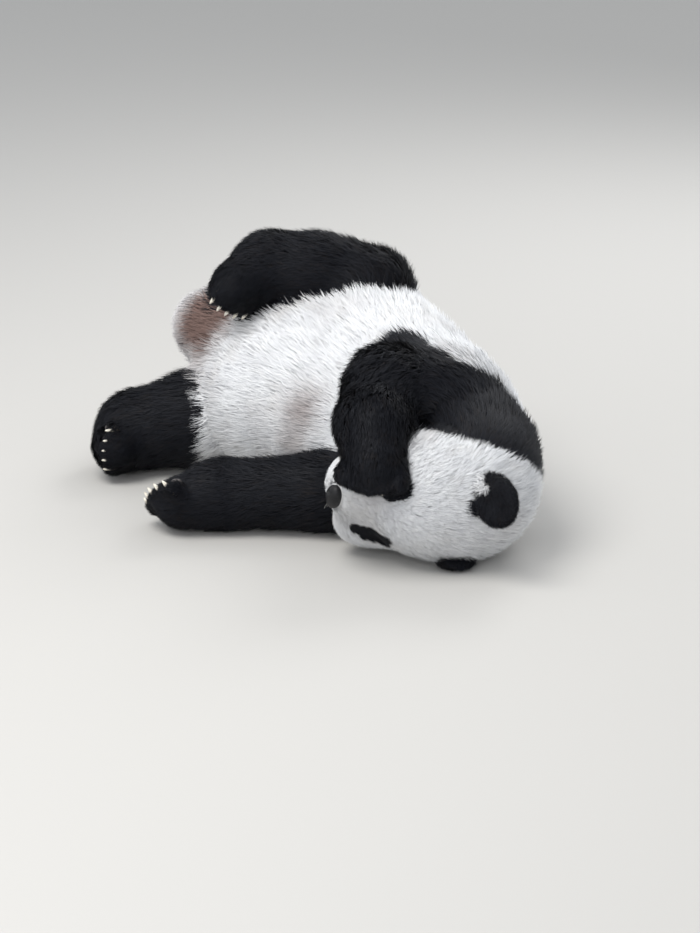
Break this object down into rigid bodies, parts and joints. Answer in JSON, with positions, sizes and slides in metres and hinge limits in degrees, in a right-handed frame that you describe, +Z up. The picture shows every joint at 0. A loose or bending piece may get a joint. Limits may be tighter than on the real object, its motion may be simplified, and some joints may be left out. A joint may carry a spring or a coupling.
{
  "type": "giant panda",
  "caption": "Giant panda lying on its left side with its head bowed and a forepaw over its muzzle, life size.",
  "frame": {"origin": "on the ground under the middle of the animal's bounding box", "axes": "+Z up; +X to the animal's back where the trunk bends; +Y from the head end to the rump"},
  "size_m": [0.8866, 0.984, 0.4976],
  "materials": {
    "white_coat": "dense white fur, 10 to 45 mm deep, matt",
    "black_coat": "dense black fur, 8 to 40 mm deep, with a soft sheen",
    "tail_coat": "fluffy fur, reddish brown in the middle with a white fringe",
    "eye": "wet, very dark brown, mirror gloss",
    "nose_skin": "fine pebbled skin, slightly moist",
    "claw_horn": "ivory horn, smooth, with fine lengthwise grain"
  },
  "bodies": {
    "root": {"head": "white_coat", "neck": "white_coat", "chest": "black_coat", "abdomen": "white_coat", "tail": "tail_coat", "ear_right": "black_coat", "ear_left": "black_coat", "eye_right": "eye", "eye_left": "eye", "nose": "nose_skin", "foreleg_right_upper": "black_coat", "foreleg_right_lower": "black_coat", "foreleg_right_paw": "black_coat", "claw_foreleg_right_1": "claw_horn", "claw_foreleg_right_2": "claw_horn", "claw_foreleg_right_3": "claw_horn", "claw_foreleg_right_4": "claw_horn", "claw_foreleg_right_5": "claw_horn", "foreleg_left_upper": "black_coat", "foreleg_left_lower": "black_coat", "foreleg_left_paw": "black_coat", "claw_foreleg_left_1": "claw_horn", "claw_foreleg_left_2": "claw_horn", "claw_foreleg_left_3": "claw_horn", "claw_foreleg_left_4": "claw_horn", "claw_foreleg_left_5": "claw_horn", "hindleg_right_upper": "black_coat", "hindleg_right_lower": "black_coat", "hindleg_right_paw": "black_coat", "claw_hindleg_right_1": "claw_horn", "claw_hindleg_right_2": "claw_horn", "claw_hindleg_right_3": "claw_horn", "claw_hindleg_right_4": "claw_horn", "claw_hindleg_right_5": "claw_horn", "hindleg_left_upper": "black_coat", "hindleg_left_lower": "black_coat", "hindleg_left_paw": "black_coat", "claw_hindleg_left_1": "claw_horn", "claw_hindleg_left_2": "claw_horn", "claw_hindleg_left_3": "claw_horn", "claw_hindleg_left_4": "claw_horn", "claw_hindleg_left_5": "claw_horn"}
  },
  "joints": []
}
